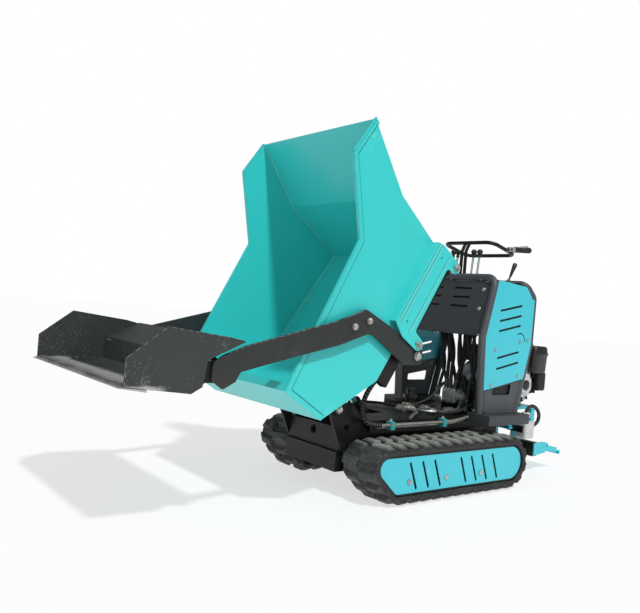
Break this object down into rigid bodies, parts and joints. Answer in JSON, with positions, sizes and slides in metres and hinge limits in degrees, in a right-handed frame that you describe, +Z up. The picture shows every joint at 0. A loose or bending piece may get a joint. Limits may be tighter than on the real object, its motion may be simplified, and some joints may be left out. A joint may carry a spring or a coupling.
{
  "type": "power wheelbarrow",
  "caption": "Rubber-tracked self-loading dumper: tipping skip, front loader bucket on arms, console with levers and hand loop, side engine and fold-down rear step.",
  "frame": {"origin": "centre of the bounding box, on the ground", "axes": "forward is -Y, the left side of the machine is +X, up is +Z"},
  "size_m": [0.74, 2.2236, 1.2856],
  "materials": {
    "turquoise_paint": "gloss",
    "grey_paint": "satin",
    "arm_paint": "satin",
    "bucket_paint": "matte, worn",
    "black_paint": "satin",
    "bare_steel": "worn",
    "zinc_steel": "zinc plated",
    "chrome_rod": "polished",
    "track_rubber": "matte",
    "hose_rubber": "matte",
    "cast_alloy": "cast",
    "black_plastic": "matte",
    "white_plastic": "matte"
  },
  "bodies": {
    "chassis": {"chassis_frame": "black_paint", "deck_plate": "black_paint", "pivot_brackets": "black_paint", "skip_pivot_shaft": "zinc_steel", "track_belt_left": "track_rubber", "track_belt_right": "track_rubber", "track_frames": "black_paint", "travel_motors": "black_paint", "track_rollers": "bare_steel", "track_covers": "turquoise_paint", "cover_bolts": "zinc_steel", "console_tubes": "grey_paint", "console_front_panel": "grey_paint", "console_sides": "turquoise_paint", "console_feet": "grey_paint", "console_top": "grey_paint", "side_trays": "grey_paint", "valve_block": "black_paint", "handle_loop": "black_paint", "engine_base": "turquoise_paint", "engine_block": "cast_alloy", "recoil_starter": "black_plastic", "fuel_tank": "black_paint", "air_filter": "black_plastic", "muffler": "black_paint", "hydraulic_unit": "cast_alloy", "hydraulic_pipes": "zinc_steel", "console_hoses": "hose_rubber", "oil_reservoir": "white_plastic", "step_brackets": "turquoise_paint"},
    "skip": {"tilt_frame": "black_paint", "skip_side_left": "turquoise_paint", "skip_side_right": "turquoise_paint", "skip_floor": "turquoise_paint", "skip_rear_wall": "turquoise_paint", "skip_rims": "turquoise_paint", "skip_mount_plates": "turquoise_paint", "skip_pins": "zinc_steel"},
    "loader": {"rear_arm_plates": "arm_paint", "front_arm_plates": "arm_paint", "elbow_bolts": "zinc_steel", "arm_cross_shaft": "black_paint", "bucket_shell": "bucket_paint", "cutting_edge": "bare_steel", "bucket_brackets": "bucket_paint"},
    "tip_barrel": {"tip_barrel": "black_paint"},
    "tip_rod": {"tip_rod": "chrome_rod"},
    "lift_barrel": {"lift_barrel": "black_paint"},
    "lift_rod": {"lift_rod": "chrome_rod"},
    "sprocket_left": {"drive_sprocket_left": "bare_steel"},
    "sprocket_right": {"drive_sprocket_right": "bare_steel"},
    "idler_left": {"front_idler_left": "bare_steel"},
    "idler_right": {"front_idler_right": "bare_steel"},
    "lever_1": {"control_lever_1": "chrome_rod"},
    "lever_2": {"control_lever_2": "chrome_rod"},
    "lever_3": {"control_lever_3": "chrome_rod"},
    "lever_4": {"control_lever_4": "chrome_rod"},
    "throttle": {"throttle_lever": "black_plastic"},
    "grip": {"grip_lever": "hose_rubber"},
    "step": {"step_plate": "turquoise_paint"}
  },
  "joints": [
    {"name": "skip_tip", "type": "hinge", "parent": "chassis", "child": "skip", "pos_m": [0, -0.222, 0.311], "axis": [1, 0, 0], "range_deg": [-53, 0]},
    {"name": "loader_lift", "type": "hinge", "parent": "skip", "child": "loader", "pos_m": [0, -0.04308, 0.51932], "axis": [1, 0, 0], "range_deg": [0, 20]},
    {"name": "tip_barrel_swing", "type": "hinge", "parent": "chassis", "child": "tip_barrel", "pos_m": [0, 0.176, 0.12], "axis": [1, 0, 0], "range_deg": [0, 8.91]},
    {"name": "tip_rod_stroke", "type": "slide", "parent": "tip_barrel", "child": "tip_rod", "axis": [0, -0.7016, 0.7126], "range_m": [-0.1253, 0]},
    {"name": "lift_barrel_swing", "type": "hinge", "parent": "skip", "child": "lift_barrel", "pos_m": [0, 0.09139, 0.81301], "axis": [1, 0, 0], "range_deg": [0, 1.69]},
    {"name": "lift_rod_stroke", "type": "slide", "parent": "lift_barrel", "child": "lift_rod", "axis": [0, -0.598, -0.8015], "range_m": [-0.002, 0.0243]},
    {"name": "sprocket_left_turn", "type": "hinge", "parent": "chassis", "child": "sprocket_left", "pos_m": [0.257, 0.546, 0.106], "axis": [1, 0, 0], "continuous": true},
    {"name": "idler_left_turn", "type": "hinge", "parent": "chassis", "child": "idler_left", "pos_m": [0.257, -0.126, 0.133], "axis": [1, 0, 0], "continuous": true},
    {"name": "sprocket_right_turn", "type": "hinge", "parent": "chassis", "child": "sprocket_right", "pos_m": [-0.257, 0.546, 0.106], "axis": [1, 0, 0], "continuous": true},
    {"name": "idler_right_turn", "type": "hinge", "parent": "chassis", "child": "idler_right", "pos_m": [-0.257, -0.126, 0.133], "axis": [1, 0, 0], "continuous": true},
    {"name": "lever_1_tilt", "type": "hinge", "parent": "chassis", "child": "lever_1", "pos_m": [-0.07, 0.56, 0.8], "axis": [1, 0, 0], "range_deg": [-5, 5], "stiffness_Nm_per_rad": 3},
    {"name": "lever_2_tilt", "type": "hinge", "parent": "chassis", "child": "lever_2", "pos_m": [-0.044, 0.56, 0.8], "axis": [1, 0, 0], "range_deg": [-5, 5], "stiffness_Nm_per_rad": 3},
    {"name": "lever_3_tilt", "type": "hinge", "parent": "chassis", "child": "lever_3", "pos_m": [0.044, 0.56, 0.8], "axis": [1, 0, 0], "range_deg": [-5, 5], "stiffness_Nm_per_rad": 3},
    {"name": "lever_4_tilt", "type": "hinge", "parent": "chassis", "child": "lever_4", "pos_m": [0.076, 0.56, 0.8], "axis": [1, 0, 0], "range_deg": [-5, 5], "stiffness_Nm_per_rad": 3},
    {"name": "throttle_tilt", "type": "hinge", "parent": "chassis", "child": "throttle", "pos_m": [0.19, 0.634, 0.834], "axis": [1, 0, 0], "range_deg": [-12, 12]},
    {"name": "grip_squeeze", "type": "hinge", "parent": "chassis", "child": "grip", "pos_m": [0.158, 0.672, 0.97], "axis": [1, 0, 0], "range_deg": [-12, 0], "stiffness_Nm_per_rad": 3, "springref_deg": 6.88},
    {"name": "step_fold", "type": "hinge", "parent": "chassis", "child": "step", "pos_m": [0, 0.968, 0.113], "axis": [1, 0, 0], "range_deg": [0, 85]}
  ],
  "couplings": [
    {"joint": "tip_rod_stroke", "follows": "skip_tip", "m_per_rad": 0.13325},
    {"joint": "tip_barrel_swing", "follows": "skip_tip", "ratio": -0.15864},
    {"joint": "lift_rod_stroke", "follows": "loader_lift", "m_per_rad": 0.06388},
    {"joint": "lift_barrel_swing", "follows": "loader_lift", "ratio": 0.08063},
    {"joint": "idler_left_turn", "follows": "sprocket_left_turn", "ratio": 1.6},
    {"joint": "idler_right_turn", "follows": "sprocket_right_turn", "ratio": 1.6}
  ]
}
